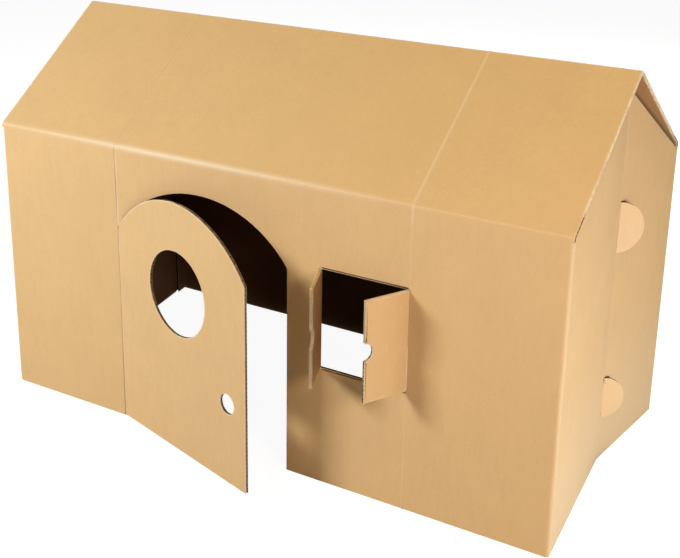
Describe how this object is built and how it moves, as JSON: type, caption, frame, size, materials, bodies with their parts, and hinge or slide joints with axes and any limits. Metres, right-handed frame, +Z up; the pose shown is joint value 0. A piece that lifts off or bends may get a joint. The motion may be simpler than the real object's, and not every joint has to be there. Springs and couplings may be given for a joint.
{
  "type": "playhouse",
  "caption": "Child's playhouse folded from one sheet of plain brown corrugated board, with a pitched roof, an arched door with a round window, and a small square window with shutters",
  "frame": {"origin": "middle of the bounding box in plan, door and shutters as shown included, on the floor", "axes": "+X along the front wall to the right as seen from the front, +Y from the front wall back to the rear wall, +Z up"},
  "size_m": [1.213, 0.711, 0.7854],
  "materials": {
    "kraft_board": "matte brown liner, corrugated inside"
  },
  "bodies": {
    "house": {"folded_house": "kraft_board"},
    "door": {"door_leaf": "kraft_board"},
    "shutter_left": {"left_shutter": "kraft_board"},
    "shutter_right": {"right_shutter": "kraft_board"}
  },
  "joints": [
    {"name": "door_hinge", "type": "hinge", "parent": "house", "child": "door", "pos_m": [-0.3077, -0.24238, 0.25], "axis": [0, 0, -1], "range_deg": [-17, 153]},
    {"name": "left_shutter_hinge", "type": "hinge", "parent": "house", "child": "shutter_left", "pos_m": [0.146, -0.24238, 0.33275], "axis": [0, 0, -1], "range_deg": [-70, 100]},
    {"name": "right_shutter_hinge", "type": "hinge", "parent": "house", "child": "shutter_right", "pos_m": [0.3243, -0.24238, 0.33275], "axis": [0, 0, 1], "range_deg": [-62, 108]}
  ]
}
